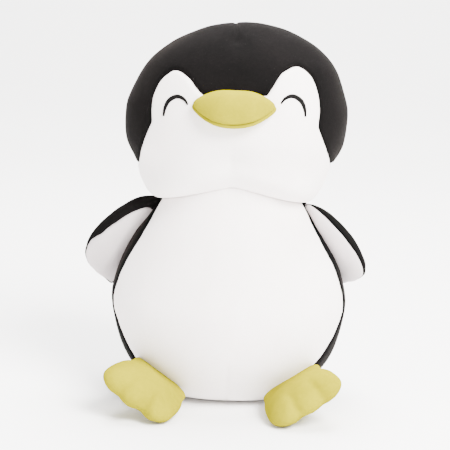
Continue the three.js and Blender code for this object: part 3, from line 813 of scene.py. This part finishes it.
def sew_beak(pillow):
    skin = pillow.skin
    pillow.carve(-0.4 * wave(skin.extra["local"], 15, 41))
    pillow.set_down()
    skin.cut((1.0 - skin.extra["sweep"]) * 12 * MM, "whole", "upper", "lower")
    uneven = np.clip(0.75 + 0.6 * wave(skin.v, 9 * MM, 43), 0, 1)
    skin.groove(skin.seams[0], 2.0 * MM, 2.2 * MM, 0.3 * MM, 42, share=uneven)
    return skin


# ---- eyes: arches of satin stitch --------------------------------------------------------------------
EYE_SPREAD, EYE_HEIGHT, EYE_SPAN, EYE_STROKE = 41.0, -3.7, 9.5, 3.2
EYE_ARCH = [[-0.86, 1], [-0.55, 4.8], [0, 6.6], [0.6, 3.6], [0.9, -2], [0.98, -7.6]]


def build_eye(name, mirror, face_tree):
    arch = catmull([[x * EYE_SPAN, z + EYE_HEIGHT] for x, z in EYE_ARCH], 260)
    ahead = np.gradient(arch, axis=0)
    ahead /= np.linalg.norm(ahead, axis=1, keepdims=True)
    side = np.stack([-ahead[:, 1], ahead[:, 0]], 1)
    t = np.linspace(0, 1, len(arch))
    half = EYE_STROKE / 2 * (0.22 + 0.78 * np.sin(math.pi * (0.06 + 0.88 * t)))
    stitch = 0.5 + 0.5 * np.cos(np.arange(len(arch)) * math.pi * 0.5)
    lift_to = UNEVEN / 2 if mirror > 0 else 0
    steps = np.linspace(-1, 1, 9)
    section = np.sqrt(np.clip(1 - steps**2, 0, 1))
    ahead_way = Vector(HEAD_TURN @ np.array([0, 1.0, 0]))
    rows = []
    for i in range(len(arch)):
        row = []
        for k, s in enumerate(steps):
            spot = arch[i] + side[i] * half[i] * s
            across, up = mirror * (EYE_SPREAD + spot[0]), spot[1] + lift_to
            local = np.array([HEAD_CENTRE[0] + across, -140.0, HEAD_CENTRE[2] + up])
            hit, way, _, _ = face_tree.ray_cast(Vector(head_world(local)), ahead_way)
            proud = (0.15 + 0.62 * section[k] + 0.1 * stitch[i] * section[k]) * MM
            row.append((hit + way * proud, hit - way * 0.5 * MM))
        rows.append(row)
    wide, long = len(steps), len(rows)
    points = [r[k][0] for r in rows for k in range(wide)] + [r[k][1] for r in rows for k in range(wide)]
    n = wide * long
    faces = []
    for i in range(long - 1):
        for k in range(wide - 1):
            a, b, c, d = i * wide + k, i * wide + k + 1, (i + 1) * wide + k + 1, (i + 1) * wide + k
            faces += [(a, b, c, d), (d + n, c + n, b + n, a + n)]
        a, b = i * wide, (i + 1) * wide
        faces += [(a, b, b + n, a + n)]
        a, b = a + wide - 1, b + wide - 1
        faces += [(b, a, a + n, b + n)]
    for k in range(wide - 1):
        a, b = k, k + 1
        faces += [(b, a, a + n, b + n)]
        a, b = (long - 1) * wide + k, (long - 1) * wide + k + 1
        faces += [(a, b, b + n, a + n)]
    if mirror > 0:
        faces = [f[::-1] for f in faces]
    return mesh_object(name, points, faces)


# ---- label -------------------------------------------------------------------------------------------
def build_label():
    """A blank ribbon folded in half, its two ends caught in the back seam."""
    joint = JOINTS["label_flap"]
    up = Vector(joint["axis"]).normalized()
    out = Vector((0, 1, 0))
    out = (out - up * out.dot(up)).normalized()
    across = up.cross(out)
    long, wide, ribbon, fold = 24.0, 15.0, 0.45, 0.8
    root = Vector(joint["pos_m"]) - out * 1.0 * MM
    half = fold / 2
    loop = [
        [-3, half],
        [8, half + 0.35],
        [18, half + 0.3],
        [long - 0.7, half],
        [long, 0],
        [long - 0.7, -half],
        [18, -half - 0.1],
        [8, -half - 0.25],
        [-3, -half],
    ]
    path = catmull(loop, 70)
    ahead = np.gradient(path, axis=0)
    ahead /= np.linalg.norm(ahead, axis=1, keepdims=True)
    off = np.stack([-ahead[:, 1], ahead[:, 0]], 1) * ribbon / 2
    rows = 18
    points, faces = [], []
    for j in range(rows):
        s = j / (rows - 1)
        for sign in (1, -1):
            for i, q in enumerate(path + sign * off):
                curl = 0.6 * math.sin(q[0] / long * 2.4) * (s - 0.4)
                points.append(root + (out * q[0] + across * (q[1] + curl) + up * (s - 0.5) * wide) * MM)
    n = len(path)
    for j in range(rows - 1):
        a, b = j * 2 * n, (j + 1) * 2 * n
        for i in range(n - 1):
            faces += [(a + i, a + i + 1, b + i + 1, b + i)]
            faces += [(b + n + i, b + n + i + 1, a + n + i + 1, a + n + i)]
        for i in (0, n - 1):
            f = (a + i, b + i, b + n + i, a + n + i)
            faces.append(f if i == 0 else f[::-1])
    for j, way in ((0, 1), (rows - 1, -1)):
        a = j * 2 * n
        for i in range(n - 1):
            f = (a + i, a + n + i, a + n + i + 1, a + i + 1)
            faces.append(f[::way])
    return mesh_object("care_label_ribbon", points, faces)


# ---- put together --------------------------------------------------------------------------------------
HEAD_EASE, BODY_EASE = 26 * MM, 16 * MM  # how far from the neck ring each skin is evened out

body_skin, body_ring = build_body()
head_skin, head_ring = build_head()
meet_ring(head_skin, head_ring, body_skin, body_ring)
soften_body(body_skin, body_ring)
soften_head(head_skin, head_ring)
meet_ring(head_skin, head_ring, body_skin, body_ring)
eased = ((head_skin, head_ring, HEAD_EASE, 30), (body_skin, body_ring, BODY_EASE, 12))
for skin, ring, ease, rounds in eased:
    near_neck, _ = skin.seam_reach(ring, ease)
    skin.relax(0.6 * (1 - smooth(near_neck / ease)), ring, rounds)
    skin.extra["normal"] = skin.normals()

TORSO = [
    ("belly", "belly_panel_cloth", WHITE, "white_plush", ["belly_panel", "body_stuffing"]),
    ("back_left", "back_panel_left_cloth", BLACK, "black_plush", ["back_panel_left"]),
    ("back_right", "back_panel_right_cloth", BLACK, "black_plush", ["back_panel_right"]),
]
for panel, name, material, slot, nodes in TORSO:
    made = dress(body_skin.piece(panel, name), material, nodes)
    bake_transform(made)
base = dress(body_skin.piece("base", "base_panel_cloth"), WHITE, ["base_panel"])
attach(base, "torso")

HEAD = [
    ("face", "face_panel_cloth", WHITE, "white_plush", ["face_panel", "head_stuffing", "neck_stuffing"]),
    ("hood_front", "hood_front_cloth", BLACK, "black_plush", ["hood_front_panel"]),
    ("hood_back_left", "hood_back_left_cloth", BLACK, "black_plush", ["hood_back_panel_left"]),
    ("hood_back_right", "hood_back_right_cloth", BLACK, "black_plush", ["hood_back_panel_right"]),
]
head_pieces = {}
for panel, name, material, slot, nodes in HEAD:
    made = dress(head_skin.piece(panel, name), material, nodes)
    head_pieces[panel] = made
    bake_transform(made)

bpy.context.view_layer.update()
face_tree = BVHTree.FromObject(head_pieces["face"], bpy.context.evaluated_depsgraph_get())
for name, mirror in (("left", 1), ("right", -1)):
    eye = build_eye(f"eye_{name}_stitches", mirror, face_tree)
    dress(eye, THREAD, [f"eye_{name}"])
    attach(eye, "head")

beak = sew_beak(build_beak())
for panel, nodes in (("upper", ["beak_upper_panel", "beak_stuffing"]), ("lower", ["beak_lower_panel"])):
    made = dress(beak.piece(panel, f"beak_{panel}_cloth"), YELLOW, nodes)
    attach(made, "head")


# The two sides of a hand-sewn toy differ a little. Each row: side, mirror, how far the flipper opens and
# the foot splays in degrees, the flipper's length, how far its black side wraps, and the toes' reach.
SIDES = [
    ("left", 1, 52, 13, 0.98, 0.0, 0.975),
    ("right", -1, 20, 21, 1.08, 0.2, 1.04),
]
for side, mirror, open_angle, splay, stretch, wrap, toes in SIDES:
    flipper = build_flipper(side, mirror, open_angle, stretch)
    skin = sew_flipper(flipper, side, wrap)
    outer_nodes = [f"flipper_outer_panel_{side}", f"flipper_stuffing_{side}"]
    inner_nodes = [f"flipper_inner_panel_{side}"]
    # the inner panels wear the darker copy of the white plush, painted shade
    looks = [("inner", WHITE_PAINTED_SHADE, "white_plush", inner_nodes), ("outer", BLACK, "black_plush", outer_nodes)]
    for panel, material, slot, nodes in looks:
        made = dress(skin.piece(panel, f"flipper_{panel}_{side}_cloth"), material, nodes)
        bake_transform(made)
    foot = build_foot(side, mirror, splay, toes)
    skin = sew_foot(foot, side)
    top_nodes = [f"foot_top_panel_{side}", f"foot_stuffing_{side}"]
    for panel, nodes in (("top", top_nodes), ("sole", [f"foot_sole_panel_{side}"])):
        made = skin.piece(panel, f"foot_{panel}_{side}_cloth")
        dress(made, YELLOW, nodes)
        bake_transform(made)

label = dress(build_label(), RIBBON, ["care_label"])
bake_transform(label)


# ---- floor, light and camera ----------------------------------------------------------------------------
def build_floor():
    """A pale floor that curves up into a backdrop far behind."""
    rise = catmull([[-4.0, 0], [0.6, 0], [1.1, 0], [1.6, 0.12], [2.0, 0.6], [2.1, 1.4], [2.1, 2.6]], 60)
    points = [(x, y, z) for y, z in rise for x in (-4.0, 4.0)]
    faces = [(2 * i, 2 * i + 1, 2 * i + 3, 2 * i + 2) for i in range(len(rise) - 1)]
    floor = mesh_object("studio_floor", points, faces)
    material, _, shader, _ = node_tools("pale_floor")
    shader.inputs["Base Color"].default_value = (0.9, 0.9, 0.9, 1)
    shader.inputs["Roughness"].default_value = 0.9
    floor.data.materials.append(material)


def area_light(name, where, size, power, colour):
    """A soft round lamp that points at the middle of the toy."""
    data = bpy.data.lights.new(name, "AREA")
    data.shape = "DISK"
    data.size = size
    data.energy = power
    data.color = colour
    lamp = bpy.data.objects.new(name, data)
    lamp.location = where
    lamp.rotation_euler = (Vector((0, 0, 0.15)) - Vector(where)).to_track_quat("-Z", "Y").to_euler()
    bpy.context.scene.collection.objects.link(lamp)


build_floor()
area_light("key", (0.9, -1.1, 1.5), 1.1, 230, (1.0, 0.98, 0.95))
area_light("fill", (-1.3, -1.2, 0.8), 1.4, 6, (1.0, 0.84, 0.82))
area_light("top", (0.1, 0.5, 1.7), 1.2, 130, (1.0, 0.98, 0.97))
world = bpy.data.worlds.new("studio")
world.use_nodes = True
sky = world.node_tree.nodes["Background"]
sky.inputs["Color"].default_value = (1.0, 1.0, 1.0, 1)
sky.inputs["Strength"].default_value = 1.7
bpy.context.scene.world = world

# The camera stands at the front, a little above, and is rolled slightly.
ELEVATION, ROLL, DISTANCE = math.radians(12), math.radians(2), 1.3
ACROSS = 0.3375  # what the frame spans at the toy, in metres
SENSOR = 36
SHIFT_RIGHT, SHIFT_UP = -0.0052, -0.0115
camera_data = bpy.data.cameras.new("camera")
camera_data.sensor_width = SENSOR
camera_data.lens = SENSOR * DISTANCE / ACROSS
camera = bpy.data.objects.new("camera", camera_data)
bpy.context.scene.collection.objects.link(camera)
right = Vector((1, 0, 0))
up = Vector((0, math.sin(ELEVATION), math.cos(ELEVATION)))
back = right.cross(up)
rolled_right = right * math.cos(ROLL) + up * math.sin(ROLL)
rolled_up = up * math.cos(ROLL) - right * math.sin(ROLL)
aim = Vector((0, 0, 0.14)) + rolled_right * SHIFT_RIGHT + rolled_up * SHIFT_UP
camera.matrix_world = frame_matrix(aim + back * DISTANCE, rolled_right, rolled_up, back)
bpy.context.scene.camera = camera
